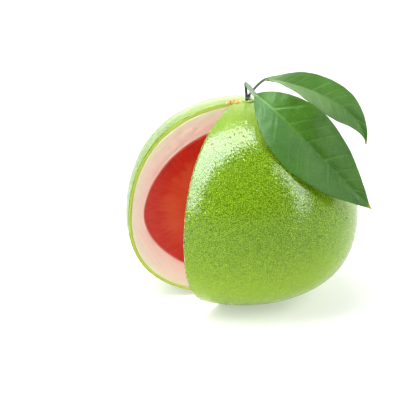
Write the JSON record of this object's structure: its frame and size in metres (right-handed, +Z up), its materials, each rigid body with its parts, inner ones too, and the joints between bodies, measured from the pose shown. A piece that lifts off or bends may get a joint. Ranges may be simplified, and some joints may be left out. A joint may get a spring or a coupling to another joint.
{
  "type": "pomelo",
  "caption": "Red-fleshed green pomelo, like a large grapefruit, with one wedge cut out and leaves on their stalks.",
  "frame": {"origin": "middle of the small flat spot that the fruit rests on, on the axis of its core", "axes": "+Z up along the core towards the stem, -Y the front, +X the side that the leaves lean over; the cut opens between -X and -Y"},
  "size_m": [0.1676, 0.1598, 0.1539],
  "materials": {
    "rind": "waxy green citrus rind with a fine pebble of oil glands",
    "pith": "soft matte pith, cream turning pink towards the flesh",
    "flesh": "wet juice cells, red with paler streaks",
    "stem": "matte green bark",
    "leaf": "leathery leaf with a soft sheen"
  },
  "bodies": {
    "root": {"fruit": "rind", "stem": "stem", "leaf_front": "leaf", "leaf_back": "leaf"}
  },
  "joints": []
}
